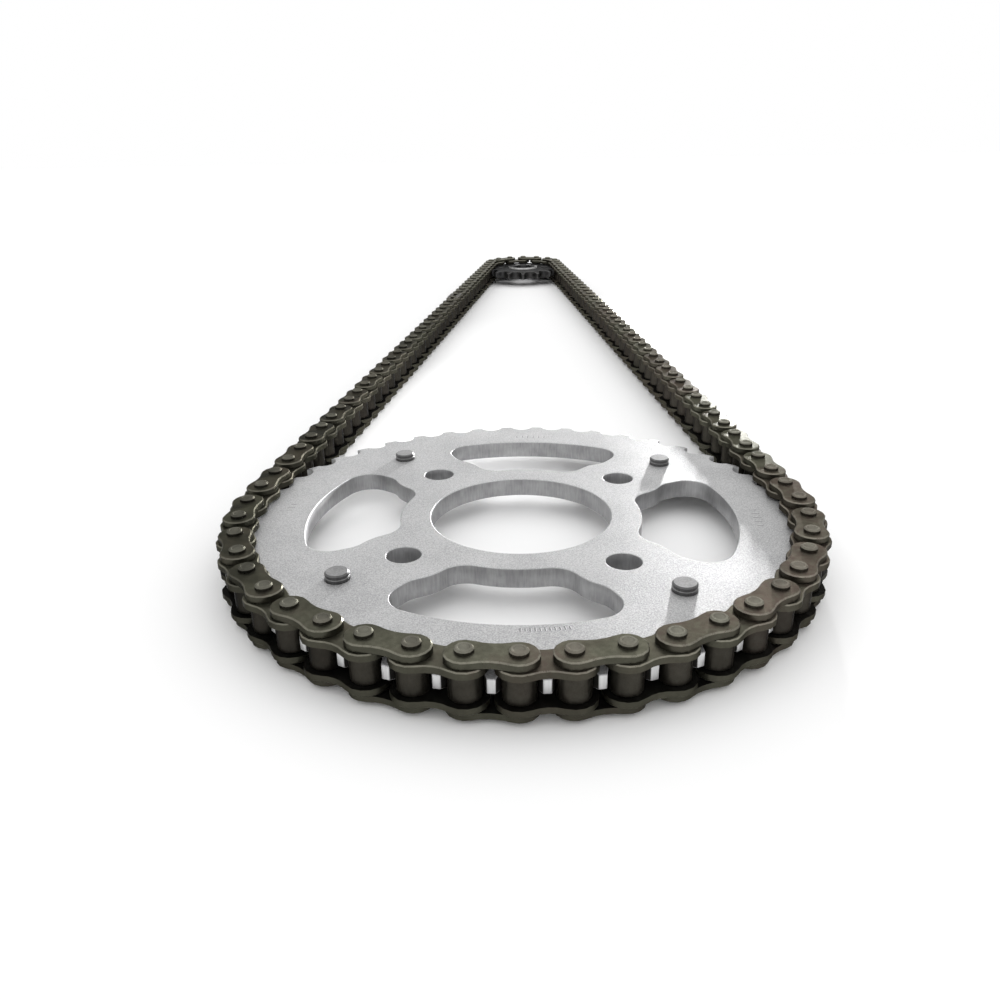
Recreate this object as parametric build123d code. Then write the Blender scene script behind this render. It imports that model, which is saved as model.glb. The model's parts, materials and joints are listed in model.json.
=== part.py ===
from build123d import *
from math import atan, atan2, ceil, cos, degrees, hypot, radians, sin, sqrt, acos, pi
import os

# A roller chain closed round a large and a small sprocket, lying flat. The origin is on the
# large sprocket's axis, in the middle plane of the chain. +Y points to the small sprocket
# and +Z is up. Sizes are in millimetres, angles in degrees.

# Chain sizes
pitch = 12.70
roller_diameter = 8.51
inner_width = 7.85              # between the inner plates
plate_thickness = 2.0
plate_gap = 0.15                # between an inner plate and the outer plate on it
inner_plate_height = 11.8
inner_waist_depth = 1.4         # how far each side of a plate is scooped in
outer_plate_height = 10.0
outer_waist_depth = 1.1
pin_diameter = 4.51
pin_fit = 0.055                 # between a pin and its bush, all round
bush_wall = 0.815
roller_fit = 0.06               # between a bush and its roller, all round
roller_end_gap = 0.10           # between a roller and each inner plate
pin_head_diameter = 4.80
pin_head_height = 1.15
pin_head_chamfer = 0.40

# The loop
rear_teeth = 44
front_teeth = 15
run_links = 42                  # links in each straight run
closing_slack = 0.43            # sideways play left at the loop's one open pivot

# Sprocket teeth
seat_clearance = 0.095          # between a roller and its seat
rear_tooth_height = 1.9         # above the pitch circle
front_tooth_height = 2.3
tooth_side_bevel = 1.1
tooth_side_bevel_depth = 3.5

# Large sprocket
rear_thickness = 6.2
rear_bore_diameter = 58.5
rear_bolt_diameter = 10.5
rear_bolt_circle = 91.0
rear_bolts = 4
peg_diameter = 7.0
peg_circle = 135.2
peg_rise = 2.4
peg_bevel = 0.4
peg_groove_depth = 0.25
peg_groove_width = 0.5
window_inner_diameter = 78.0
window_outer_diameter = 137.6
window_half_angle = 30.0
bolt_boss_diameter = 31.6       # metal kept round each bolt hole
window_corner = 8.0

# Small sprocket
front_thickness = 6.2
hub_diameter = 26.0
hub_rise = 1.2
spline_inner_diameter = 17.0
spline_outer_diameter = 20.2
spline_slot_width = 4.6
splines = 6
retainer_hole_diameter = 6.6
retainer_hole_spacing = 38.0

# Connecting link
clip_thickness = 0.8
clip_height = 8.2
clip_slot_width = 2.3
clip_fit = 0.05                 # between the clip and the neck of each pin
pin_neck_diameter = 3.3
connecting_place = 14           # outer links between it and the large sprocket

# Rollers that turn freely on their own, either side of the chain's front
free_roller_pins = range(-4, 4)

# Heights and radii that follow
inner_plate_low = inner_width / 2
inner_plate_top = inner_plate_low + plate_thickness
outer_plate_low = inner_plate_top + plate_gap
outer_plate_top = outer_plate_low + plate_thickness
pin_end = outer_plate_top + pin_head_height
pin_radius = pin_diameter / 2
bush_bore_radius = pin_radius + pin_fit
bush_radius = bush_bore_radius + bush_wall
roller_radius = roller_diameter / 2
roller_length = inner_width - 2 * roller_end_gap
seat_radius = roller_radius + seat_clearance


def pitch_radius(teeth):
    """Distance from a sprocket's axis to the chain pins on it."""
    return pitch / (2 * sin(pi / teeth))


rear_radius = pitch_radius(rear_teeth)
front_radius = pitch_radius(front_teeth)
rear_step = 360 / rear_teeth
front_step = 360 / front_teeth

# A straight run leaves the large sprocket past its side and the small one before it.
run_length = run_links * pitch
run_lean = degrees(atan((rear_radius - front_radius) / run_length))
rear_half = ceil((90 + run_lean) / rear_step)
front_half = ceil((90 - run_lean) / front_step)
front_first = rear_half + run_links
half_count = front_first + front_half

run_width = rear_radius * sin(radians(rear_half * rear_step))
run_width -= front_radius * sin(radians(front_half * front_step))
centre_distance = sqrt(run_length ** 2 - run_width ** 2)
centre_distance -= rear_radius * cos(radians(rear_half * rear_step))
centre_distance -= front_radius * cos(radians(front_half * front_step))


def polar(radius, angle):
    return Vector(radius * cos(radians(angle)), radius * sin(radians(angle)))


# Pins are counted from the middle of the large sprocket's front, up along the right side
# and down, as negative numbers, along the left.
def pin_place(number):
    """Centre of a pin with the loop at rest."""
    count = abs(number)
    if count <= rear_half:
        place = polar(rear_radius, count * rear_step - 90)
    elif count < front_first:
        share = (count - rear_half) / run_links
        place = pin_place(rear_half) * (1 - share) + pin_place(front_first) * share
    else:
        place = polar(front_radius, 90 + (count - half_count) * front_step)
        place += Vector(0, centre_distance)
    return place if number >= 0 else Vector(-place.X, place.Y)


# The loop's rigid groups of links. Link n joins pin n to pin n + 1.
rear_links = [*range(-rear_half, rear_half - 1)]
right_joint_links = [rear_half - 1]
right_run_links = [*range(rear_half, front_first)]
front_links = [*range(front_first, half_count), *range(-half_count, -front_first - 1)]
left_run_links = [*range(-front_first - 1, -rear_half - 1)]
left_joint_links = [-rear_half - 1]
connecting_link = -rear_half - 1 - 2 * connecting_place
open_pivot = -front_first - 1

# The left run hangs from its rear pin, turned out by the slack at its open front end.
left_hinge = pin_place(-rear_half - 1)
left_turn = Pos(left_hinge) * Rot(0, 0, degrees(closing_slack / run_length)) * Pos(-left_hinge)
straight = Location()


def is_inner(link):
    return (link - rear_half) % 2 == 0


def link_place(link):
    """Middle of a link, with its length along the local X axis."""
    start = pin_place(link)
    end = pin_place(link + 1)
    angle = degrees(atan2(end.Y - start.Y, end.X - start.X))
    return Pos((start + end) / 2) * Rot(0, 0, angle)


def link_plate(height, waist_depth, hole_radius):
    """A waisted plate with two holes, lying on z = 0."""
    half = pitch / 2
    end_radius = height / 2
    half_waist = end_radius - waist_depth
    scoop = (half ** 2 + half_waist ** 2 - end_radius ** 2) / (2 * waist_depth)
    share = end_radius / (end_radius + scoop)
    touch_x = half * (1 - share)
    touch_y = (half_waist + scoop) * share
    with BuildPart() as plate:
        with BuildSketch():
            with BuildLine():
                ThreePointArc((touch_x, touch_y), (half + end_radius, 0), (touch_x, -touch_y))
                ThreePointArc((touch_x, -touch_y), (0, -half_waist), (-touch_x, -touch_y))
                ThreePointArc((-touch_x, -touch_y), (-half - end_radius, 0), (-touch_x, touch_y))
                ThreePointArc((-touch_x, touch_y), (0, half_waist), (touch_x, touch_y))
            make_face()
            with Locations((-half, 0), (half, 0)):
                Circle(hole_radius, mode=Mode.SUBTRACT)
        extrude(amount=plate_thickness)
    return plate.part


def tube(outer_radius, inner_radius, length):
    return Cylinder(outer_radius, length) - Cylinder(inner_radius, length)


def riveted_pin():
    """A pin with a peened head at each end, centred on the chain's middle plane."""
    head_radius = pin_head_diameter / 2
    upper_half = [
        (pin_radius, outer_plate_top),
        (head_radius, outer_plate_top),
        (head_radius, pin_end - pin_head_chamfer),
        (head_radius - pin_head_chamfer, pin_end),
        (0, pin_end),
    ]
    lower_half = [(x, -z) for x, z in reversed(upper_half)]
    with BuildPart() as pin:
        with BuildSketch(Plane.XZ):
            with BuildLine():
                Polyline(*lower_half, *upper_half, close=True)
            make_face()
        revolve(axis=Axis.Z)
    return pin.part


inner_plate = link_plate(inner_plate_height, inner_waist_depth, bush_radius)
outer_plate = link_plate(outer_plate_height, outer_waist_depth, pin_radius)
bush = tube(bush_radius, bush_bore_radius, 2 * inner_plate_top)
roller = tube(roller_radius, bush_radius + roller_fit, roller_length)
pin = riveted_pin()

# The pin in the open pivot is necked inside its bush, so that it can float there.
open_neck_radius = bush_bore_radius - closing_slack - pin_fit
open_pin = pin - tube(pin_radius + 1, open_neck_radius, 2 * inner_plate_top)


def connecting_pin():
    """A pin with one peened head and a grooved top end for the spring clip."""
    neck = tube(pin_radius + 1, pin_neck_diameter / 2, clip_thickness)
    top_ring = tube(pin_radius + 1, pin_radius, pin_head_height)
    shaped = pin - Pos(0, 0, outer_plate_top + pin_head_height / 2) * top_ring
    return shaped - Pos(0, 0, outer_plate_top + clip_thickness / 2) * neck


def spring_clip():
    """A flat clip, closed round one pin's neck and split at the other."""
    half = pitch / 2
    neck_radius = pin_neck_diameter / 2 + clip_fit
    with BuildPart() as clip:
        with BuildSketch():
            SlotCenterToCenter(pitch, clip_height)
            with Locations((-half, 0), (half, 0)):
                Circle(neck_radius, mode=Mode.SUBTRACT)
            Rectangle(pitch, clip_slot_width, mode=Mode.SUBTRACT)
            with Locations((half, 0)):
                Rectangle(clip_height, clip_slot_width, align=(Align.MIN, Align.CENTER),
                          mode=Mode.SUBTRACT)
        extrude(amount=clip_thickness)
    return clip.part


def gap_outline(teeth, tooth_height):
    """Points of one roller gap, opening along +X: tip, flank, seat end, root and back."""
    radius = pitch_radius(teeth)
    tip_radius = radius + tooth_height
    seat_half_angle = 70 - 45 / teeth
    flank_radius = 0.12 * roller_diameter * (teeth + 2)
    seat_end = Vector(radius, 0) + polar(seat_radius, 180 - seat_half_angle)
    flank_centre = Vector(radius, 0) + polar(seat_radius + flank_radius, 180 - seat_half_angle)
    far = hypot(flank_centre.X, flank_centre.Y)
    opening = (far ** 2 + tip_radius ** 2 - flank_radius ** 2) / (2 * far * tip_radius)
    tip_angle = degrees(atan2(flank_centre.Y, flank_centre.X)) - degrees(acos(opening))
    tip = polar(tip_radius, tip_angle)
    middle = (seat_end + tip) / 2 - flank_centre
    flank = flank_centre + middle.normalized() * flank_radius
    upper = [seat_end, flank, tip]
    lower = [Vector(point.X, -point.Y) for point in reversed(upper)]
    return [*lower, Vector(radius - seat_radius, 0), *upper]


def sprocket_blank(teeth, tooth_height, thickness):
    """A toothed disc centred on z = 0, with one gap on +X and the teeth bevelled each side."""
    gap = gap_outline(teeth, tooth_height)
    step = 360 / teeth
    tip_radius = pitch_radius(teeth) + tooth_height
    half = thickness / 2
    bevel_radius = tip_radius - tooth_side_bevel_depth
    outside = tip_radius + 1
    outside_half = half - tooth_side_bevel * (outside - bevel_radius) / tooth_side_bevel_depth
    with BuildPart() as blank:
        with BuildSketch():
            with BuildLine():
                for tooth in range(teeth):
                    points = [point.rotate(Axis.Z, tooth * step) for point in gap]
                    next_tip = gap[0].rotate(Axis.Z, (tooth + 1) * step)
                    land = polar(tip_radius, (tooth + 0.5) * step)
                    ThreePointArc(points[0], points[1], points[2])
                    ThreePointArc(points[2], points[3], points[4])
                    ThreePointArc(points[4], points[5], points[6])
                    ThreePointArc(points[6], land, next_tip)
            make_face()
        extrude(amount=half, both=True)
        with BuildSketch(Plane.XZ):
            with BuildLine():
                Polyline((0, -half), (bevel_radius, -half), (outside, -outside_half),
                         (outside, outside_half), (bevel_radius, half), (0, half), close=True)
            make_face()
        revolve(axis=Axis.Z, mode=Mode.INTERSECT)
    return blank.part


def window_sketch():
    """One rounded window between two bolt bosses, centred on +X."""
    side = window_outer_diameter
    spread = side * sin(radians(window_half_angle))
    depth = side * cos(radians(window_half_angle))
    sector = make_face(Polyline((0, 0), (depth, -spread), (depth, spread), close=True))
    window = sector & Circle(window_outer_diameter / 2)
    window -= Circle(window_inner_diameter / 2)
    for sign in (-1, 1):
        boss_place = polar(rear_bolt_circle / 2, sign * 180 / rear_bolts)
        window -= Pos(boss_place) * Circle(bolt_boss_diameter / 2)
    window = offset(window, window_corner)
    window = offset(window, -2 * window_corner)
    return offset(window, window_corner)


def ring_places(circle_diameter, count, first_angle):
    """Places evenly round a circle."""
    return [Pos(polar(circle_diameter / 2, first_angle + n * 360 / count)) for n in range(count)]


# The bolts sit a quarter turn apart, half a tooth off the middle of a gap.
pattern_angle = -90 - rear_step / 2
bolt_angle = pattern_angle + 180 / rear_bolts


def rear_sprocket():
    gap_on_front = Rot(0, 0, -90)
    blank = gap_on_front * sprocket_blank(rear_teeth, rear_tooth_height, rear_thickness)
    cutters = [Cylinder(rear_bore_diameter / 2, rear_thickness)]
    for place in ring_places(rear_bolt_circle, rear_bolts, bolt_angle):
        cutters.append(place * Cylinder(rear_bolt_diameter / 2, rear_thickness))
    for place in ring_places(peg_circle, rear_bolts, bolt_angle):
        cutters.append(place * Cylinder(peg_diameter / 2, rear_thickness))
    window = extrude(window_sketch(), amount=rear_thickness / 2, both=True)
    for number in range(rear_bolts):
        cutters.append(Rot(0, 0, pattern_angle + number * 360 / rear_bolts) * window)
    return blank - cutters


def rear_peg():
    """A press-fitted peg, flush below and proud above, with a groove round its head."""
    peg_top = rear_thickness / 2 + peg_rise
    length = rear_thickness + peg_rise
    body = Pos(0, 0, peg_top - length / 2) * Cylinder(peg_diameter / 2, length)
    body = chamfer(body.edges().group_by(Axis.Z)[-1], peg_bevel)
    groove = tube(peg_diameter / 2 + 1, peg_diameter / 2 - peg_groove_depth, peg_groove_width)
    return body - Pos(0, 0, peg_top - peg_rise / 2) * groove


def front_sprocket():
    """The small sprocket, with a hub on top, a splined bore and two retainer bolt holes."""
    gap_on_back = Rot(0, 0, 90)
    blank = gap_on_back * sprocket_blank(front_teeth, front_tooth_height, front_thickness)
    full_height = front_thickness + hub_rise
    middle = Pos(0, 0, hub_rise / 2)
    hub = middle * Cylinder(hub_diameter / 2, full_height)
    cutters = [middle * Cylinder(spline_inner_diameter / 2, full_height)]
    for number in range(splines):
        slot = Box(spline_outer_diameter / 2, spline_slot_width, full_height,
                   align=(Align.MIN, Align.CENTER, Align.CENTER))
        cutters.append(Rot(0, 0, number * 360 / splines) * middle * slot)
    for place in ring_places(retainer_hole_spacing, 2, 0):
        cutters.append(place * Cylinder(retainer_hole_diameter / 2, front_thickness))
    return Pos(0, centre_distance, 0) * (blank + hub - cutters)


def write_node(name, solids):
    """Write one node, as one solid or as a group of separate solids."""
    shape = solids[0] if len(solids) == 1 else Compound(children=solids)
    export_step(shape, f"parts/{name}.step")


def place_pieces(piece, places, turn):
    return [turn * place * piece for place in places]


def write_link_group(name, links, turn=straight, free_rollers=(), rejected=()):
    """Write the plates, pins, bushes and rollers of one rigid group of links."""
    inner = [link for link in links if is_inner(link)]
    outer = [link for link in links if not is_inner(link) and link not in rejected]
    bush_pins = [number for link in inner for number in (link, link + 1)]
    pin_numbers = [number for link in outer for number in (link, link + 1)]
    plate_levels = {
        "upper": (Pos(0, 0, inner_plate_low), Pos(0, 0, outer_plate_low)),
        "lower": (Pos(0, 0, -inner_plate_top), Pos(0, 0, -outer_plate_top)),
    }
    for side, (inner_level, outer_level) in plate_levels.items():
        if inner:
            places = [link_place(link) * inner_level for link in inner]
            write_node(f"{name}_inner_plates_{side}", place_pieces(inner_plate, places, turn))
        if outer:
            places = [link_place(link) * outer_level for link in outer]
            write_node(f"{name}_outer_plates_{side}", place_pieces(outer_plate, places, turn))
    if outer:
        pins = [turn * Pos(pin_place(number)) * (open_pin if number == open_pivot else pin)
                for number in pin_numbers]
        write_node(f"{name}_pins", pins)
    if inner:
        places = [Pos(pin_place(number)) for number in bush_pins]
        write_node(f"{name}_bushes", place_pieces(bush, places, turn))
        places = [Pos(pin_place(number)) for number in bush_pins if number not in free_rollers]
        write_node(f"{name}_rollers", place_pieces(roller, places, turn))


def write_connecting_link():
    """The removable link: fixed plate and pins below, cover plate and clip on top."""
    place = left_turn * link_place(connecting_link)
    ends = [left_turn * Pos(pin_place(connecting_link + end)) for end in (0, 1)]
    write_node("connecting_fixed_plate", [place * Pos(0, 0, -outer_plate_top) * outer_plate])
    write_node("connecting_pins", [end * connecting_pin() for end in ends])
    write_node("connecting_cover_plate", [place * Pos(0, 0, outer_plate_low) * outer_plate])
    write_node("connecting_clip", [place * Pos(0, 0, outer_plate_top) * spring_clip()])


def write_all():
    os.makedirs("parts", exist_ok=True)
    write_link_group("rear_wrap", rear_links, free_rollers=free_roller_pins)
    write_link_group("right_joint_link", right_joint_links)
    write_link_group("right_run", right_run_links)
    write_link_group("front_wrap", front_links)
    write_link_group("left_run", left_run_links, left_turn, rejected=[connecting_link])
    write_link_group("left_joint_link", left_joint_links)
    write_connecting_link()
    for count, number in enumerate(free_roller_pins, start=1):
        write_node(f"free_roller_{count}", [Pos(pin_place(number)) * roller])
    write_node("rear_sprocket", [rear_sprocket()])
    pegs = [place * rear_peg() for place in ring_places(peg_circle, rear_bolts, bolt_angle)]
    write_node("rear_sprocket_pegs", pegs)
    write_node("front_sprocket", [front_sprocket()])


write_all()
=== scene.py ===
# %% [markdown]
# # A roller chain round two sprockets
#
# A motorcycle's final drive lies flat on a table: a long roller chain, closed round a large
# toothed wheel near us and a small one far away. Every part is hard metal, so nothing here is
# simulated. The measured CAD model is loaded first and fixes where everything goes. The chain's
# stampings, pins and rollers are then made again with softened edges, and the sprockets are
# copies of their CAD shapes with their cut edges eased.

# %% Load the measured model
import json
import random
from math import atan2, cos, degrees, hypot, pi, radians, sin

import bmesh
import bpy
from mathutils import Matrix, Vector

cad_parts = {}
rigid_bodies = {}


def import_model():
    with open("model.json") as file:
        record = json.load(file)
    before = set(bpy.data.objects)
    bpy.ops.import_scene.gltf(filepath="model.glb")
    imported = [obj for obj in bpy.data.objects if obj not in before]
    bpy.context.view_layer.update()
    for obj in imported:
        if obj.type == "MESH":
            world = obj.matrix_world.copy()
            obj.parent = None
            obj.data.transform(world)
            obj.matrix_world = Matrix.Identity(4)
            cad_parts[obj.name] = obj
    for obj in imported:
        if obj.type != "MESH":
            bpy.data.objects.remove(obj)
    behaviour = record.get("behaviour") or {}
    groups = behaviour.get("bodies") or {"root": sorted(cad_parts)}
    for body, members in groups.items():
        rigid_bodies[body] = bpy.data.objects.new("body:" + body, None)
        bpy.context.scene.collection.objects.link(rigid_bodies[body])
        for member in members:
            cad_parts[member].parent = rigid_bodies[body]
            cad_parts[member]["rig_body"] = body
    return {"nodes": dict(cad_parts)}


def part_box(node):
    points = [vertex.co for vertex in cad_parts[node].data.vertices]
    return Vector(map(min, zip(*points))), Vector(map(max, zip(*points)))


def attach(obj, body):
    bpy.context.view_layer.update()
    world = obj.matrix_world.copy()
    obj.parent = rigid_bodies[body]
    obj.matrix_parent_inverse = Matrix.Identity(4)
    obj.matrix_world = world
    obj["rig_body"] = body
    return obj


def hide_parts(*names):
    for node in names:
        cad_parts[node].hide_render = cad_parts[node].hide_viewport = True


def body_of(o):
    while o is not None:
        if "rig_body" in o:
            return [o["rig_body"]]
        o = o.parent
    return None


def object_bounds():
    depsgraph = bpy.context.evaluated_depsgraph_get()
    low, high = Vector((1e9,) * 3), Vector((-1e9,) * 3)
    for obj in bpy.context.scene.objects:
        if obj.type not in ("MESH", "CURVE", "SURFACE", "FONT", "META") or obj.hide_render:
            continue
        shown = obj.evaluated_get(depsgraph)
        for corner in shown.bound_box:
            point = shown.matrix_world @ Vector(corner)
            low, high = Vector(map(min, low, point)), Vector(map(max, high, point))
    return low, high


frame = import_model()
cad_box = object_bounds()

mm = 0.001
table_height = cad_box[0][2]
print(len(frame["nodes"]), "CAD nodes; the table is at", round(table_height / mm, 3), "mm")

# %% [markdown]
# The chain is the common half-inch size. Its plates are stamped, so they all share a few sizes:
# the pitch from pin to pin, two heights, and how deeply each side is scooped in. They are named
# once here, and every shape below is drawn from them. A bush's bore is drawn a little wider than
# it is, so that its flat facets stay clear of the round pin.

# %% Sizes of the chain's parts
pitch = 12.70 * mm
plate_thickness = 2.0 * mm
inner_plate_height = 11.8 * mm
inner_scoop = 1.4 * mm
outer_plate_height = 10.0 * mm
outer_scoop = 1.1 * mm
pin_radius = 2.255 * mm
pin_head_radius = 2.40 * mm
plate_outside = 8.075 * mm
pin_end = 9.225 * mm
bush_bore = 2.38 * mm
bush_radius = 3.125 * mm
bush_half_length = 5.925 * mm
roller_bore = 3.185 * mm
roller_radius = 4.255 * mm
roller_half_length = 3.825 * mm
open_neck_radius = 1.825 * mm
neck_half_length = 5.925 * mm
print("one link is", pitch / mm, "mm long and a pin", round(2 * pin_end / mm, 2), "mm")

# %% [markdown]
# ## Where the pieces go
#
# Each CAD node of the chain is a group of separate solids: all the pins of one run, say. The
# surest way to place a detailed copy is to ask the CAD where each solid is. Its mesh is a cloud
# of loose triangles, so a copy is merged, then walked from corner to corner until a whole shell
# has been visited. A link plate is longer than it is wide, and the way that its corners spread
# gives the direction it points in.

# %% Find the separate solids of a node
weld_distance = 0.002 * mm


def merged_copy(node):
    """A bmesh of a CAD node with its loose triangles joined at their corners."""
    copy = bmesh.new()
    copy.from_mesh(frame["nodes"][node].data)
    bmesh.ops.remove_doubles(copy, verts=copy.verts, dist=weld_distance)
    return copy


def corners_by_shell(copy):
    """The corners of each separate shell, in the order of the mesh."""
    waiting = set(copy.verts)
    shells = []
    for first in copy.verts:
        if first not in waiting:
            continue
        waiting.remove(first)
        shell = [first]
        for corner in shell:
            for edge in corner.link_edges:
                neighbour = edge.other_vert(corner)
                if neighbour in waiting:
                    waiting.remove(neighbour)
                    shell.append(neighbour)
        shells.append(shell)
    return shells


# %% Read each solid's middle and heading
def middle_and_heading(shell):
    """The middle of a shell, and the angle of its long direction about the Z axis."""
    count = len(shell)
    rough = sum((corner.co for corner in shell), Vector()) / count
    along = sum((corner.co.x - rough.x) ** 2 for corner in shell)
    across = sum((corner.co.y - rough.y) ** 2 for corner in shell)
    shared = sum((corner.co.x - rough.x) * (corner.co.y - rough.y) for corner in shell)
    heading = atan2(2 * shared, along - across) / 2
    turn = Matrix.Rotation(-heading, 3, "Z")
    turned = [turn @ corner.co for corner in shell]
    spans = [(min(c[axis] for c in turned), max(c[axis] for c in turned)) for axis in range(3)]
    middle = Vector([(low + high) / 2 for low, high in spans])
    return turn.inverted() @ middle, heading


def places_in(node):
    """Middle and heading of every solid in a CAD node."""
    copy = merged_copy(node)
    places = [middle_and_heading(shell) for shell in corners_by_shell(copy)]
    copy.free()
    return places


print(len(places_in("right_run_pins")), "pins in the right run")

# %% [markdown]
# ## Drawing with one corner
#
# A stamped plate is a dog-bone outline with two holes. Half of the outline can be drawn by a
# single corner: `spin` swings it round a centre and leaves an edge behind at each step, like a
# pencil in a compass. The half is filled as one face and mirrored, which keeps a plate down to
# a few dozen faces. That matters, because there are hundreds of them.

# %% A compass for corners
end_steps = 5
waist_steps = 4
hole_steps = 6


def swing(shape, corner, centre, angle, steps):
    """Draw an arc from a corner round a centre, and return the arc's last corner."""
    result = bmesh.ops.spin(shape, geom=[corner], cent=(centre[0], centre[1], 0),
                            axis=(0, 0, 1), dvec=(0, 0, 0), angle=angle, steps=steps,
                            use_merge=False, use_duplicate=False)
    return next(item for item in result["geom_last"] if isinstance(item, bmesh.types.BMVert))


def half_plate_outline(shape, height, scoop, hole):
    """The +Y half of a plate's outline, closed along the X axis past its two half holes."""
    half = pitch / 2
    end_radius = height / 2
    waist = end_radius - scoop
    scoop_radius = (half ** 2 + waist ** 2 - end_radius ** 2) / (2 * scoop)
    touch = atan2(waist + scoop_radius, -half)
    first = shape.verts.new((half + end_radius, 0, 0))
    corner = swing(shape, first, (half, 0), touch, end_steps)
    corner = swing(shape, corner, (0, waist + scoop_radius), pi - 2 * touch, waist_steps)
    corner = swing(shape, corner, (-half, 0), touch, end_steps)
    for side in (-half, half):
        hole_edge = shape.verts.new((side - hole, 0, 0))
        shape.edges.new((corner, hole_edge))
        corner = swing(shape, hole_edge, (side, 0), -pi, hole_steps)
    shape.edges.new((corner, first))


# %% [markdown]
# The filled outline is pulled up to the plate's thickness. A press leaves a plate rounded on
# one side, where the die pushes the metal in, and sharp on the other, so only the outward rim
# is bevelled. The narrow bevel is what catches the light along the real plates. Its faces get
# the second finish of the plate's list, rubbed and also painted lighter as a highlight. The face
# that looks into the chain gets the third, painted near-black as the shade between the plates.

# %% From a bmesh to a mesh
corner_angle = radians(38)
dead_level = 0.99
nearly_level = 0.9


def finish_mesh(shape, name):
    """Turn a bmesh into a mesh: level faces stay flat, and walls are smooth between corners."""
    mesh = bpy.data.meshes.new(name)
    shape.to_mesh(mesh)
    shape.free()
    mesh.set_sharp_from_angle(angle=corner_angle)
    for face in mesh.polygons:
        face.use_smooth = abs(face.normal.z) < dead_level
    return mesh


print("corners sharper than", round(degrees(corner_angle)), "degrees stay sharp")


# %% Stamp a plate
def outward_rim(shape, hole):
    """The edges round the outside of a plate's top face, without the holes' edges."""
    rim = []
    just_below_top = plate_thickness * 0.49
    clear_of_hole = hole * 1.05
    for edge in shape.edges:
        flat = all(corner.co.z > just_below_top for corner in edge.verts)
        middle = (edge.verts[0].co + edge.verts[1].co) / 2
        off_centre = hypot(abs(middle.x) - pitch / 2, middle.y)
        upright = any(abs(face.normal.z) < 0.5 for face in edge.link_faces)
        if flat and upright and off_centre > clear_of_hole:
            rim.append(edge)
    return rim


def stamped_plate(name, height, scoop, hole, rim_bevel):
    """A plate centred on the origin with its rounded rim on top."""
    shape = bmesh.new()
    half_plate_outline(shape, height, scoop, hole)
    bmesh.ops.contextual_create(shape, geom=shape.edges[:])
    bmesh.ops.mirror(shape, geom=shape.verts[:] + shape.edges[:] + shape.faces[:],
                     matrix=Matrix(), merge_dist=weld_distance / 2, axis="Y")
    bmesh.ops.remove_doubles(shape, verts=shape.verts, dist=weld_distance)
    pulled = bmesh.ops.extrude_face_region(shape, geom=shape.faces[:])
    top = [item for item in pulled["geom"] if isinstance(item, bmesh.types.BMVert)]
    bmesh.ops.translate(shape, verts=top, vec=(0, 0, plate_thickness))
    bmesh.ops.translate(shape, verts=shape.verts, vec=(0, 0, -plate_thickness / 2))
    bmesh.ops.recalc_face_normals(shape, faces=shape.faces)
    rim = bmesh.ops.bevel(shape, geom=outward_rim(shape, hole), offset=rim_bevel,
                          offset_type="OFFSET", segments=1, profile=0.5, affect="EDGES",
                          clamp_overlap=True, material=-1)
    # The rim's faces are worn, and also painted lighter as a painted highlight along the edge.
    for face in rim["faces"]:
        face.material_index = 1
    shape.normal_update()
    # Faces that look into the chain get the third finish, painted shade.
    for face in shape.faces:
        if face.normal.z < -nearly_level:
            face.material_index = 2
    return finish_mesh(shape, name)


inner_plate = stamped_plate("inner_plate", inner_plate_height, inner_scoop, bush_radius,
                            0.30 * mm)
outer_plate = stamped_plate("outer_plate", outer_plate_height, outer_scoop, pin_radius,
                            0.35 * mm)
print("a plate has", len(outer_plate.polygons), "faces")

# %% [markdown]
# ## Turned parts
#
# Pins, bushes and rollers come off a lathe, so each is half of its cross-section swung a full
# turn round the Z axis. With `use_merge` the last step joins the first. A pin's section stops
# short of the axis, and the two round openings that leaves are closed with one face each.

# %% Turn a section round the axis
def turned(section, steps, closed):
    """A lathe shape. A closed section makes a ring and an open one has its ends capped."""
    shape = bmesh.new()
    corners = [shape.verts.new((radius, 0, height)) for radius, height in section]
    for first, second in zip(corners, corners[1:] + corners[:1] if closed else corners[1:]):
        shape.edges.new((first, second))
    bmesh.ops.spin(shape, geom=shape.verts[:] + shape.edges[:], cent=(0, 0, 0),
                   axis=(0, 0, 1), dvec=(0, 0, 0), angle=2 * pi, steps=steps,
                   use_merge=True, use_duplicate=False)
    bmesh.ops.remove_doubles(shape, verts=shape.verts, dist=weld_distance / 2)
    if not closed:
        open_edges = [edge for edge in shape.edges if edge.is_boundary]
        bmesh.ops.holes_fill(shape, edges=open_edges, sides=0)
    bmesh.ops.recalc_face_normals(shape, faces=shape.faces)
    return shape


# %% Bushes and rollers
def ring_section(inside, outside, half_length, chamfer):
    """A tube's section, with both outside corners chamfered."""
    return [
        (inside, -half_length),
        (outside - chamfer, -half_length),
        (outside, -half_length + chamfer),
        (outside, half_length - chamfer),
        (outside - chamfer, half_length),
        (inside, half_length),
    ]


bush_section = ring_section(bush_bore, bush_radius, bush_half_length, 0.2 * mm)
bush = finish_mesh(turned(bush_section, 14, closed=True), "bush")
roller_section = ring_section(roller_bore, roller_radius, roller_half_length, 0.25 * mm)
roller = finish_mesh(turned(roller_section, 18, closed=True), "roller")
print("a roller has", len(roller.polygons), "faces")

# %% [markdown]
# A riveted pin is swollen at its ends by a punch that leaves a shallow dish in the middle. The
# dish has a rim that catches the light. One pin stands in the loop's open pivot. It is narrower
# inside its bush, to have room to float there, so it is turned from its own section.

# %% Riveted pins
dished_part = 0.45 * mm


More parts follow.
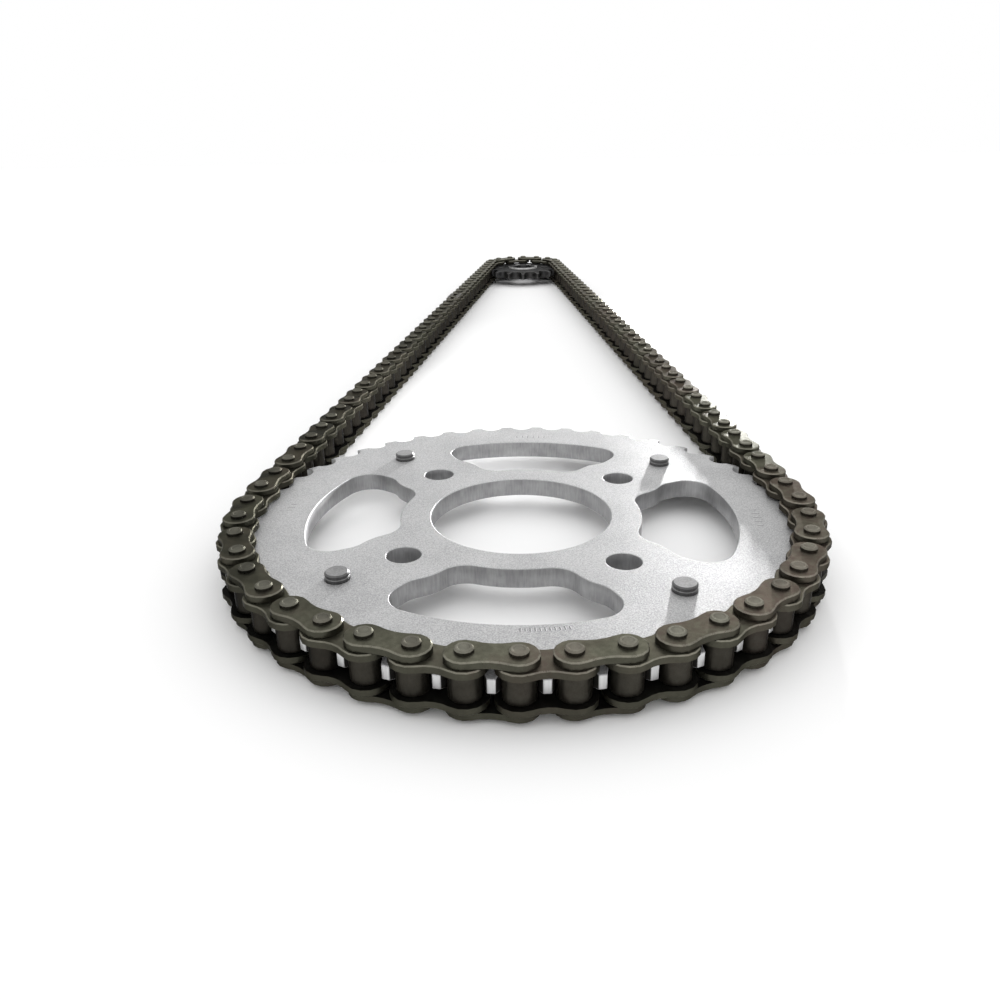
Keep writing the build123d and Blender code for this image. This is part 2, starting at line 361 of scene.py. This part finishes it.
def pin_section(neck_radius):
    """Half of a pin's section, from the lower dish up to the upper one."""
    upper = [
        (neck_radius, neck_half_length),
        (pin_radius, neck_half_length),
        (pin_radius, plate_outside),
        (pin_head_radius, plate_outside),
        (pin_head_radius, pin_end - 0.40 * mm),
        (pin_head_radius - 0.40 * mm, pin_end),
        (pin_head_radius - 0.85 * mm, pin_end),
        (pin_head_radius - 1.10 * mm, pin_end - 0.18 * mm),
    ]
    if neck_radius == pin_radius:
        upper = upper[2:]
    return [(radius, -height) for radius, height in reversed(upper)] + upper


def riveted_pin(name, neck_radius):
    """A pin whose dished ends get the second finish of its list."""
    shape = turned(pin_section(neck_radius), 14, closed=False)
    for face in shape.faces:
        if abs(face.calc_center_median().z) > pin_end - dished_part:
            face.material_index = 1
    return finish_mesh(shape, name)


pin = riveted_pin("pin", pin_radius)
open_pin = riveted_pin("open_pin", open_neck_radius)
print("a pin has", len(pin.polygons), "faces")

# %% [markdown]
# ## Eased copies
#
# The sprockets, their pegs and the connecting link's pins and clip are few, and their CAD shapes
# are already right. What a CAD solid lacks is the tiny rounding that tools and plating leave on
# every edge. A merged copy has its flat triangles dissolved into whole faces, and the edges
# where two faces meet sharply are bevelled. The new faces are marked with a number, so that a
# finish can be chosen for them later.

# %% Ease the sharp edges of a CAD shape
same_face_angle = radians(0.5)
sharp_angle = radians(50)
eased_mark = 2


def eased(node, width, segments):
    """A merged copy of a CAD node with its sharp edges rounded off."""
    shape = merged_copy(node)
    bmesh.ops.dissolve_limit(shape, angle_limit=same_face_angle, use_dissolve_boundaries=False,
                             verts=shape.verts, edges=shape.edges)
    sharp = [edge for edge in shape.edges
             if edge.is_manifold and abs(edge.calc_face_angle(0)) > sharp_angle]
    rounded = bmesh.ops.bevel(shape, geom=sharp, offset=width, offset_type="OFFSET",
                              segments=segments, profile=0.5, affect="EDGES",
                              clamp_overlap=True, material=-1)
    for face in rounded["faces"]:
        face.material_index = eased_mark
    print(node, "eased:", len(sharp), "sharp edges,", len(shape.faces), "faces")
    return shape


# %% [markdown]
# ## Finishes
#
# A finish is a small network of shader nodes. Sums between them read better as Python, so
# `Signal` wraps a socket and lets `+`, `-`, `*` and `abs` add the Math nodes. Everything else,
# from noise to colour mixing, comes from the one `node` method of `Finish`.

# %% Shader sums in Python
class Signal:
    """An output socket of a finish, which can be used in sums."""

    def __init__(self, finish, socket):
        self.finish = finish
        self.socket = socket

    def sum_node(self, operation, first, second):
        """A Math node on two numbers or signals."""
        return self.finish.node("ShaderNodeMath", {"operation": operation},
                                {0: first, 1: second})

    def __add__(self, other):
        return self.sum_node("ADD", self, other)

    __radd__ = __add__

    def __mul__(self, other):
        return self.sum_node("MULTIPLY", self, other)

    __rmul__ = __mul__

    def __sub__(self, other):
        return self.sum_node("SUBTRACT", self, other)

    def __rsub__(self, other):
        return self.sum_node("SUBTRACT", other, self)

    def __abs__(self):
        return self.sum_node("ABSOLUTE", self, 0)


# %% A finish and its nodes
class Finish:
    """A material built from nodes, with one surface shader."""

    def __init__(self, name, preview):
        self.material = bpy.data.materials.new(name)
        self.material.use_nodes = True
        self.material.diffuse_color = (*preview, 1)
        self.tree = self.material.node_tree
        self.surface = self.tree.nodes["Principled BSDF"]
        self.place = self.node("ShaderNodeTexCoord", output="Object")

    def node(self, kind, settings=None, inputs=None, output=0):
        """Add a node: its settings first, then its inputs. Returns one of its outputs."""
        node = self.tree.nodes.new(kind)
        for setting, value in (settings or {}).items():
            if setting == "stops":
                self.set_stops(node.color_ramp, value)
            else:
                setattr(node, setting, value)
        for name, value in (inputs or {}).items():
            self.feed(node.inputs[name], value)
        return Signal(self, node.outputs[output])

    def set_stops(self, ramp, stops):
        """Give a ramp its stops, each a position and a grey level."""
        while len(ramp.elements) < len(stops):
            ramp.elements.new(1)
        for element, (position, level) in zip(ramp.elements, stops):
            element.position = position
            element.color = (level, level, level, 1)

    def feed(self, socket, value):
        """Link a signal to a socket, or set the socket to a plain value."""
        if isinstance(value, Signal):
            self.tree.links.new(value.socket, socket)
        else:
            socket.default_value = value

    def shade(self, **inputs):
        """Set the surface shader's sockets, named with underscores for spaces."""
        for name, value in inputs.items():
            self.feed(self.surface.inputs[name.replace("_", " ").title()
                                           if name != "ior" else "IOR"], value)

    def noise(self, size, detail=3, place=None):
        """Cloudy noise from 0 to 1, with lumps about this size in metres."""
        return self.node("ShaderNodeTexNoise", {"noise_dimensions": "3D"},
                         {"Vector": place or self.place, "Scale": 1 / size, "Detail": detail})

    def levels(self, signal, low, high):
        """Stretch a signal so that low becomes 0 and high becomes 1."""
        return self.node("ShaderNodeMapRange", {"clamp": True},
                         {"Value": signal, "From Min": low, "From Max": high})

    def blend(self, share, first, second):
        """Mix two colours by a share from 0 to 1."""
        sockets = {0: share, 6: first, 7: second}
        return self.node("ShaderNodeMix", {"data_type": "RGBA"}, sockets, output=2)

    def stretched(self, scale):
        """Object coordinates with each axis scaled, to draw a pattern out along one."""
        return self.node("ShaderNodeMapping", {"vector_type": "POINT"},
                         {"Vector": self.place, "Scale": scale})

    def part_of(self, vector, axis):
        """One of a vector's three numbers."""
        return self.node("ShaderNodeSeparateXYZ", {}, {"Vector": vector}, output=axis)

    def relief(self, height, depth):
        """A normal from a height signal, with its depth in metres."""
        return self.node("ShaderNodeBump", {}, {"Height": height, "Distance": depth,
                                                "Strength": 1.0}, output="Normal")


print("finishes can be made")

# %% [markdown]
# ### Oiled chain steel
#
# The chain is blackened by its heat treatment and then oiled. Up close it is not black but a
# warm olive grey that changes from link to link: some links are greener, some browner. Each
# piece is therefore given a random number when it is copied, kept as an attribute of its
# corners, which the finish reads to pick between two tints. Noise adds the blotches of oil
# film, and a finer noise the peened grain.
#
# Three slower changes run along the loop. The colour darkens towards the left side. Upright walls
# are painted darker than level faces, as painted shade. The level faces at the far end are painted
# paler, a painted sheen of glancing light. Black steel mirrors little even at a shallow angle, so
# the tint of its glancing light is turned down.

# %% Oiled steel
glancing_tint = (0.3, 0.3, 0.3, 1)
# The pale colour of the painted sheen on the far end's level faces.
painted_sheen_colour = (0.34, 0.335, 0.28, 1)


def oiled_steel(name, green, brown, lift, roughness, grain_depth=0.012 * mm, cut=0, sheen_share=0):
    """Blackened, oiled steel between two tints; lift lightens the film's thin patches.

    One share is the painted shade on upright walls, the other the painted sheen on the far end's
    level faces.
    """
    finish = Finish(name, green)
    pale = tuple(level * lift + 0.01 for level in green)
    dark = tuple(level * 0.40 for level in green)
    batch = finish.node("ShaderNodeAttribute", {"attribute_name": "batch"}, output="Fac")
    drift = finish.levels(finish.noise(55 * mm, 1), 0.40, 0.60)
    patches = finish.levels(finish.noise(5 * mm, 4), 0.35, 0.68)
    film = finish.levels(finish.noise(1.6 * mm, 5), 0.40, 0.72)
    grain = finish.noise(0.22 * mm, 2)
    browner = finish.levels(batch * 0.7 + patches * 0.5 + drift * 0.7, 0.55, 1.35)
    tint = finish.blend(browner, (*green, 1), (*brown, 1))
    colour = finish.blend(film * 0.55, tint, (*pale, 1))
    colour = finish.blend(finish.levels(grain, 0.55, 0.78) * 0.6, colour, (*dark, 1))
    soot = finish.levels(finish.noise(9 * mm, 3) + batch * 0.16, 0.50, 0.72)
    # The colour darkens towards the left side of the loop.
    leftward_darkening = finish.levels(finish.part_of(finish.place, "X"), 0, -75 * mm)
    colour = finish.blend(soot * 0.4 + leftward_darkening * 0.6, colour, (*dark, 1))
    facing = finish.node("ShaderNodeTexCoord", output="Normal")
    flatness = abs(finish.part_of(facing, "Z"))
    # Upright walls are painted darker, as painted shade.
    colour = finish.blend((1 - flatness) * cut, colour, (*dark, 1))
    # Level faces at the far end are painted paler, as a painted sheen of glancing light.
    far_end = finish.levels(finish.part_of(finish.place, "Y"), 300 * mm, 520 * mm)
    colour = finish.blend(far_end * flatness * sheen_share, colour, painted_sheen_colour)
    finish.shade(base_color=colour, metallic=0.85, ior=1.6, specular_tint=glancing_tint,
                 roughness=film * 0.12 + grain * 0.16 + (roughness - 0.14),
                 normal=finish.relief(grain + film * 0.7, grain_depth))
    return finish.material


# How much painted shade darkens the upright plate walls.
painted_wall_shade = 0.6
# How strongly the painted sheen pales the far end's level faces.
far_painted_sheen = 0.6
inner_steel = oiled_steel("oiled_inner_plate", (0.110, 0.107, 0.080), (0.124, 0.097, 0.080),
                          1.6, 0.40, cut=painted_wall_shade, sheen_share=far_painted_sheen)
outer_steel = oiled_steel("oiled_outer_plate", (0.112, 0.110, 0.082), (0.128, 0.100, 0.083),
                          1.6, 0.38, cut=painted_wall_shade, sheen_share=far_painted_sheen)
# Painted shade for the plate faces that look into the chain, drawn as near-black steel.
inside_shade_steel = oiled_steel("inside_painted_shade", (0.020, 0.019, 0.016), (0.020, 0.017, 0.015), 1.4, 0.5)
# Worn plate edges, painted lighter as well to stand for the highlight along the rim.
rubbed_edge_and_highlight = oiled_steel("rubbed_and_highlighted_plate_edge", (0.205, 0.198, 0.158), (0.205, 0.178, 0.15),
                          1.6, 0.34, sheen_share=far_painted_sheen)
roller_steel = oiled_steel("satin_roller", (0.050, 0.046, 0.037), (0.050, 0.042, 0.035),
                           1.25, 0.36, 0.006 * mm)
bush_steel = oiled_steel("dark_bush", (0.05, 0.047, 0.04), (0.048, 0.042, 0.036), 1.3, 0.45)
print("oiled steels made")

# %% [markdown]
# ### Pin ends
#
# The punch and the passing years lighten the pin ends. They keep the chain's tint but are
# clearly paler and quite matt, with a coarser grain and a dark speck or two of dirty oil. The
# spring clip is the lightest and smoothest of the oiled parts.

# %% Peened pin ends and the clip
pin_side = oiled_steel("pin_side", (0.070, 0.066, 0.053), (0.070, 0.060, 0.049), 1.4, 0.40)
pin_face = oiled_steel("peened_pin_end", (0.200, 0.195, 0.160), (0.200, 0.178, 0.148), 1.6, 0.62,
                       0.03 * mm, sheen_share=far_painted_sheen)
clip_steel = oiled_steel("spring_clip", (0.26, 0.25, 0.22), (0.25, 0.22, 0.19), 1.3, 0.28)
print("pin finishes made")

# %% [markdown]
# ### Zinc plate
#
# The large sprocket is punched from plate and zinc plated. Its faces are matt and bright with a
# crystalline sparkle: pale flecks over a soft grey, under half a millimetre across. A fleck is
# also a tiny facet that leans its own way, so the same pattern drives the relief. The walls
# that the punch cut are darker and drawn with fine upright lines.

# %% Plated faces
pit_colour = (0.22, 0.22, 0.225, 1)


def zinc_face(name, pale, grey):
    """Matt zinc plate, whose flecks change its colour, its gloss and its relief together."""
    finish = Finish(name, pale)
    clouds = finish.levels(finish.noise(18 * mm, 3), 0.30, 0.70)
    flecks = finish.noise(0.40 * mm, 3)
    specks = finish.noise(0.20 * mm, 2)
    worn = finish.levels(flecks + clouds * 0.12, 0.42, 0.70)
    colour = finish.blend(worn, (*pale, 1), (*grey, 1))
    pits = finish.levels(finish.noise(0.9 * mm, 2), 0.66, 0.80)
    colour = finish.blend(pits * 0.45, colour, pit_colour)
    finish.shade(base_color=colour, metallic=0.5, ior=1.5,
                 roughness=flecks * 0.24 + specks * 0.10 + 0.35,
                 normal=finish.relief(flecks + specks * 0.5, 0.05 * mm))
    return finish.material


zinc_top = zinc_face("zinc_plate_face", (0.495, 0.495, 0.495), (0.315, 0.315, 0.32))
zinc_edge = zinc_face("zinc_plate_edge", (0.60, 0.60, 0.605), (0.45, 0.45, 0.455))
print("zinc faces made")


# %% Cut walls
def cut_wall(name, pale, dark, roughness, metallic=0.7):
    """Punched metal: fine lines through the thickness over soft clouds."""
    finish = Finish(name, pale)
    dirty = tuple(level * 0.5 for level in dark)
    lines = finish.noise(0.55 * mm, 3, finish.stretched((1, 1, 0.12)))
    clouds = finish.noise(6 * mm, 3)
    specks = finish.noise(0.4 * mm, 2)
    share = finish.levels(lines * 0.4 + clouds * 0.6, 0.34, 0.66)
    colour = finish.blend(share, (*pale, 1), (*dark, 1))
    colour = finish.blend(finish.levels(specks, 0.66, 0.80) * 0.4, colour, (*dirty, 1))
    finish.shade(base_color=colour, metallic=metallic, ior=1.5,
                 roughness=lines * 0.2 + (roughness - 0.1),
                 normal=finish.relief(lines + specks * 0.3, 0.03 * mm))
    return finish.material


zinc_wall = cut_wall("zinc_cut_wall", (0.43, 0.43, 0.435), (0.27, 0.27, 0.275), 0.42)
tooth_wall = cut_wall("zinc_tooth_wall", (0.74, 0.74, 0.74), (0.58, 0.58, 0.58), 0.42)
peg_side = cut_wall("turned_peg_side", (0.15, 0.15, 0.15), (0.09, 0.09, 0.09), 0.34, 0.9)
peg_face = cut_wall("turned_peg_face", (0.30, 0.30, 0.30), (0.19, 0.19, 0.19), 0.62, 0.6)
# Painted shade for the tooth flanks under the chain, drawn as near-black.
tooth_flank_shade = cut_wall("shaded_tooth_flank", (0.035, 0.033, 0.030), (0.02, 0.019, 0.017), 0.5, 0.3)
print("cut walls made")

# %% [markdown]
# ### Hardened small sprocket
#
# The small sprocket is hardened and dark, and only its hub, faced on a lathe, stays bright.

# %% Dark sprocket
dark_tooth = oiled_steel("hardened_sprocket", (0.055, 0.055, 0.056), (0.05, 0.047, 0.045), 1.6,
                         0.40)
dark_edge = oiled_steel("hardened_sprocket_edge", (0.13, 0.13, 0.13), (0.12, 0.115, 0.11), 1.5,
                        0.36)
bright_hub = cut_wall("faced_hub", (0.62, 0.62, 0.61), (0.42, 0.42, 0.415), 0.30, 0.9)
print("small sprocket finishes made")

# %% [markdown]
# ## Stringing the chain
#
# Now each CAD node of the chain is replaced by copies of its detailed shape. A copy is added to
# one growing bmesh, turned to its heading and moved to its middle. Lower plates are tipped over
# so that their rounded rims face down. Each copy's random number goes into the `batch`
# attribute. The seed is fixed, so the chain looks the same every time.

# %% Show a piece in place of its CAD node
luck = random.Random(44)


def riding_body(node):
    """The name of the body that a CAD node moves with."""
    return body_of(frame["nodes"][node])[0]


def show(mesh, node, finishes):
    """Put a finished mesh in the scene, in place of the CAD node it was made from."""
    piece = bpy.data.objects.new("finished_" + node, mesh)
    bpy.context.scene.collection.objects.link(piece)
    for finish in finishes:
        mesh.materials.append(finish)
    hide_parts(node)
    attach(piece, riding_body(node))


print("the chain's random numbers start from a fixed seed")


# %% Copy a shape to every place of a node
def strung(node, finishes, shape_at, tipped=False):
    """Stand detailed copies where the CAD node's solids are."""
    group = bmesh.new()
    batch = group.verts.layers.float.new("batch")
    tip = Matrix.Rotation(pi, 4, "X") if tipped else Matrix()
    places = places_in(node)
    for middle, heading in places:
        first_new = len(group.verts)
        group.from_mesh(shape_at(middle))
        group.verts.ensure_lookup_table()
        added = group.verts[first_new:]
        spot = Matrix.Translation(middle) @ Matrix.Rotation(heading, 4, "Z") @ tip
        bmesh.ops.transform(group, matrix=spot, verts=added)
        number = luck.random()
        for corner in added:
            corner[batch] = number
    mesh = bpy.data.meshes.new("finished_" + node)
    group.to_mesh(mesh)
    group.free()
    show(mesh, node, finishes)
    return len(places)


# %% [markdown]
# The narrow pin has to be found first. It is the only one with corners between its plates, where
# its section steps in.

# %% Find the narrow pin
same_place = 1 * mm
between_plates = neck_half_length + 0.5 * mm


def necked_middles(node):
    """The middles of a node's pins that have corners between their two plates."""
    copy = merged_copy(node)
    necked = [middle_and_heading(shell)[0] for shell in corners_by_shell(copy)
              if any(abs(corner.co.z) < between_plates for corner in shell)]
    copy.free()
    return necked


pin_nodes = [node for node in sorted(frame["nodes"])
             if node.endswith("_pins") and node != "connecting_pins"]
open_middles = [middle for node in pin_nodes for middle in necked_middles(node)]
print("open pins:", [(round(middle.x / mm), round(middle.y / mm)) for middle in open_middles])


def pin_at(middle):
    """The kind of pin that stands at a place."""
    narrow = any((middle - spot).length < same_place for spot in open_middles)
    return open_pin if narrow else pin


# %% [markdown]
# The rigid groups of the chain all hold the same kinds of node, and a node's name says which
# kind it is. They are strung in the order of their names, so each gets the same random numbers
# every time.

# %% String all the groups
# The third finish of each plate is painted shade on the face that looks into the chain.
plate_finishes = {"inner": [inner_steel, rubbed_edge_and_highlight, inside_shade_steel],
                  "outer": [outer_steel, rubbed_edge_and_highlight, inside_shade_steel]}
plate_shapes = {"inner": inner_plate, "outer": outer_plate}
made = 0
for node in sorted(frame["nodes"]):
    if "_plates_" in node:
        kind = "inner" if "inner" in node else "outer"
        made += strung(node, plate_finishes[kind],
                       lambda middle: plate_shapes[kind], tipped=node.endswith("lower"))
    elif node in ("connecting_cover_plate", "connecting_fixed_plate"):
        made += strung(node, plate_finishes["outer"],
                       lambda middle: outer_plate, tipped="fixed" in node)
    elif node.endswith("_pins") and node != "connecting_pins":
        made += strung(node, [pin_side, pin_face], pin_at)
    elif node.endswith("_bushes"):
        made += strung(node, [bush_steel], lambda middle: bush)
    elif node.endswith("_rollers") or node.startswith("free_roller_"):
        made += strung(node, [roller_steel], lambda middle: roller)
print(made, "chain pieces strung")

# %% [markdown]
# ## The connecting link's pins and clip
#
# One link of the left run comes apart: its pins are grooved and a flat spring clip holds them.
# Both are eased copies. The pins' level ends and eased edges get the polished finish, and their
# sides the side finish. The clip has one finish all over.

# %% Connecting pins and clip
def polish_ends(shape):
    """Give the level faces and the eased edges the second finish, and the rest the first."""
    for face in shape.faces:
        polished = face.material_index == eased_mark or abs(face.normal.z) > nearly_level
        face.material_index = 1 if polished else 0


connecting_pins = eased("connecting_pins", 0.12 * mm, 1)
polish_ends(connecting_pins)
show(finish_mesh(connecting_pins, "finished_connecting_pins"), "connecting_pins",
     [pin_side, pin_face])
clip = eased("connecting_clip", 0.10 * mm, 1)
for face in clip.faces:
    face.material_index = 0
show(finish_mesh(clip, "finished_connecting_clip"), "connecting_clip",
     [clip_steel])

# %% [markdown]
# ## The large sprocket
#
# Its edges are eased by about a fifth of a millimetre. The walls of the bore, windows and holes are
# darker than the faces, because the plating is thin there. The flanks of the teeth that the chain
# wraps are painted near-black, as painted shade under the chain, and the lands at their tips stay
# clean and bright.

# %% Large sprocket
sprocket_easing = 0.22 * mm
teeth_start = 80 * mm
lands_start = 90.75 * mm
chain_leaves_at = 14 * mm
leaning = 0.2
rear_finishes = [zinc_top, zinc_wall, zinc_edge, tooth_wall, tooth_flank_shade]


def rear_finish(face):
    """Which of the large sprocket's finishes a face gets."""
    middle = face.calc_center_median()
    reach = hypot(middle.x, middle.y)
    if abs(face.normal.z) > nearly_level:
        return zinc_top
    if reach < teeth_start:
        return zinc_edge if face.material_index == eased_mark else zinc_wall
    if abs(face.normal.z) > leaning or middle.y > chain_leaves_at:
        return zinc_edge
    # Upright flanks under the chain get the painted shade finish.
    return tooth_wall if reach > lands_start else tooth_flank_shade


sprocket = eased("rear_sprocket", sprocket_easing, 2)
for face in sprocket.faces:
    face.material_index = rear_finishes.index(rear_finish(face))
show(finish_mesh(sprocket, "finished_rear_sprocket"), "rear_sprocket",
     rear_finishes)
pegs = eased("rear_sprocket_pegs", 0.12 * mm, 1)
polish_ends(pegs)
show(finish_mesh(pegs, "finished_rear_sprocket_pegs"), "rear_sprocket_pegs",
     [peg_side, peg_face])

# %% [markdown]
# The maker of a sprocket stamps its face in a few places. Here the stamps are plain tally
# strokes that say nothing. A stroke is only a fifth of a millimetre deep, too shallow to show
# as a hole, so each is drawn as a thin dark bar, the groove's painted shade, with a pale bar
# beside it, a painted highlight along the raised burr. Both start as a cube, squeezed and turned
# into place.

# %% Tally strokes
face_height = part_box("rear_sprocket")[1].z
bar_thickness = 0.04 * mm
stroke_width = 0.30 * mm
burr_width = 0.14 * mm
burr_offset = 0.24 * mm


def add_bar(shape, spot, angle, length, width, finish_number):
    """Add a thin bar lying on the sprocket's face."""
    squeeze = Matrix.Diagonal((length, width, bar_thickness, 1))
    place = Matrix.Translation(spot) @ Matrix.Rotation(angle, 4, "Z") @ squeeze
    bar = bmesh.ops.create_cube(shape, size=1, matrix=place)
    for corner in bar["verts"]:
        for face in corner.link_faces:
            face.material_index = finish_number


def add_tally(shape, reach, angle, count, spacing, length):
    """Stamp a row of strokes round the sprocket, at a radius and an angle in degrees."""
    for number in range(count):
        turn = radians(angle) + (number - (count - 1) / 2) * spacing / reach
        stroke = length * luck.uniform(0.75, 1.0)
        away = Vector((cos(turn), sin(turn), 0))
        beside = Vector((-sin(turn), cos(turn), 0)) * burr_offset
        spot = away * reach + Vector((0, 0, face_height))
        # Each stroke is a painted-shade bar with a painted-highlight bar beside it.
        add_bar(shape, spot, turn, stroke, stroke_width, 0)
        add_bar(shape, spot + beside, turn, stroke * 0.9, burr_width, 1)


marks = bmesh.new()
add_tally(marks, 71.2 * mm, -84.9, 11, 1.25 * mm, 1.7 * mm)
add_tally(marks, 75.2 * mm, -3.4, 5, 3.0 * mm, 2.6 * mm)
add_tally(marks, 75.4 * mm, 87.3, 6, 2.2 * mm, 2.4 * mm)
add_tally(marks, 76.6 * mm, 176.2, 3, 2.4 * mm, 2.4 * mm)
# The dark bar is painted shade in the groove, and the pale bar a painted highlight on the burr.
stroke_shade = cut_wall("stamped_stroke_shade", (0.20, 0.20, 0.20), (0.12, 0.12, 0.12), 0.5)
burr_highlight = cut_wall("stamped_burr_highlight", (0.80, 0.80, 0.80), (0.65, 0.65, 0.65), 0.4)
tally = bpy.data.objects.new("stamped_tally_marks", finish_mesh(marks, "stamped_tally_marks"))
bpy.context.scene.collection.objects.link(tally)
for finish in (stroke_shade, burr_highlight):
    tally.data.materials.append(finish)
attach(tally, riding_body("rear_sprocket"))
print(len(tally.data.polygons), "faces of tally strokes")

# %% [markdown]
# ## The small sprocket
#
# Seen far off, it is a dark wheel with a light ring round its splined bore.

# %% Small sprocket
small = eased("front_sprocket", sprocket_easing, 2)
low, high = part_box("front_sprocket")
axle = (low + high) / 2
bore_reach = 10.3 * mm
hub_reach = 13.2 * mm
hub_floor = 3.2 * mm
front_finishes = [dark_tooth, dark_edge, bright_hub]


def front_finish(face):
    """Which of the small sprocket's finishes a face gets."""
    middle = face.calc_center_median()
    reach = hypot(middle.x - axle.x, middle.y - axle.y)
    if bore_reach < reach < hub_reach and middle.z > hub_floor:
        return bright_hub
    return dark_edge if face.material_index == eased_mark else dark_tooth


for face in small.faces:
    face.material_index = front_finishes.index(front_finish(face))
show(finish_mesh(small, "finished_front_sprocket"), "front_sprocket",
     front_finishes)

# %% [markdown]
# ## The table and the studio
#
# The drive lies on a white sweep of paper. The floor is one large matt sheet, level with the
# lower pin ends. A small lamp stands low behind the chain, to the right, and throws the pegs'
# long shadows towards us. A second one in the same place has a narrow beam that brings out the
# left side. A very soft sun fills in from above, and a white world stands for the rest of the
# white room.

# %% Floor
floor_half_width = 4
floor_shape = bmesh.new()
bmesh.ops.create_grid(floor_shape, x_segments=8, y_segments=8, size=floor_half_width)
bmesh.ops.translate(floor_shape, verts=floor_shape.verts, vec=(0, 0, table_height))
floor = bpy.data.objects.new("floor", finish_mesh(floor_shape, "floor"))
bpy.context.scene.collection.objects.link(floor)
paper = Finish("white_paper", (0.9, 0.9, 0.9))
paper.shade(base_color=(0.97, 0.97, 0.97, 1), roughness=0.9, metallic=0.0, ior=1.2)
floor.data.materials.append(paper.material)
print("floor at", round(table_height / mm, 2), "mm")


# %% Lamps and world
def soft_lamp(name, place, target, size, power, spread):
    """A square lamp that faces its target, with its light kept within a cone."""
    lamp = bpy.data.lights.new(name, "AREA")
    lamp.shape = "SQUARE"
    lamp.size = size
    lamp.energy = power
    lamp.spread = spread
    holder = bpy.data.objects.new(name, lamp)
    holder.location = place
    aim = Vector(target) - Vector(place)
    holder.rotation_euler = aim.to_track_quat("-Z", "Y").to_euler()
    holder.visible_camera = False
    bpy.context.scene.collection.objects.link(holder)


lamp_place = (0.219, 0.611, 0.059)
lamp_size = 22 * mm
soft_lamp("low_lamp", lamp_place, (0.03, 0, 0), lamp_size, 0.33, radians(60))
soft_lamp("left_lamp", lamp_place, (-0.095, 0, 0), lamp_size, 0.10, radians(20))
sky = bpy.data.lights.new("soft_sky", "SUN")
sky.energy = 0.35
sky.angle = radians(60)
sky_holder = bpy.data.objects.new("soft_sky", sky)
sky_holder.rotation_euler = (radians(-25), radians(12), 0)
bpy.context.scene.collection.objects.link(sky_holder)
world = bpy.data.worlds.new("white_room")
world.use_nodes = True
world.node_tree.nodes["Background"].inputs["Color"].default_value = (1, 1, 1, 1)
world.node_tree.nodes["Background"].inputs["Strength"].default_value = 1.0
bpy.context.scene.world = world
bpy.context.scene.view_settings.view_transform = "Standard"
print("lamps and world set")

# %% [markdown]
# ## The camera
#
# The camera stands close in front of the large sprocket and looks down along the loop, so that
# the near links are large and the far sprocket is tiny. Its place is in millimetres in the
# model's frame, followed by how far it tips down, turns and leans.

# %% Camera
camera_place = Vector((1.77, -254.06, 117.06)) * mm
tip_down = radians(23.285)
turn_aside = radians(-1.910)
lean = radians(-1.049)
focal_share = 0.8558

ahead = Vector((sin(turn_aside) * cos(tip_down), cos(turn_aside) * cos(tip_down),
                -sin(tip_down)))
level_right = Vector((cos(turn_aside), -sin(turn_aside), 0))
level_up = level_right.cross(ahead)
right = level_right * cos(lean) + level_up * sin(lean)
up = level_up * cos(lean) - level_right * sin(lean)
camera_data = bpy.data.cameras.new("camera")
camera_data.sensor_width = 36
camera_data.lens = focal_share * camera_data.sensor_width
camera_data.clip_start = 0.01
camera = bpy.data.objects.new("camera", camera_data)
camera.matrix_world = Matrix((
    (right.x, up.x, -ahead.x, camera_place.x),
    (right.y, up.y, -ahead.y, camera_place.y),
    (right.z, up.z, -ahead.z, camera_place.z),
    (0, 0, 0, 1),
))
bpy.context.scene.collection.objects.link(camera)
bpy.context.scene.camera = camera
print("lens", round(camera_data.lens, 2), "mm")
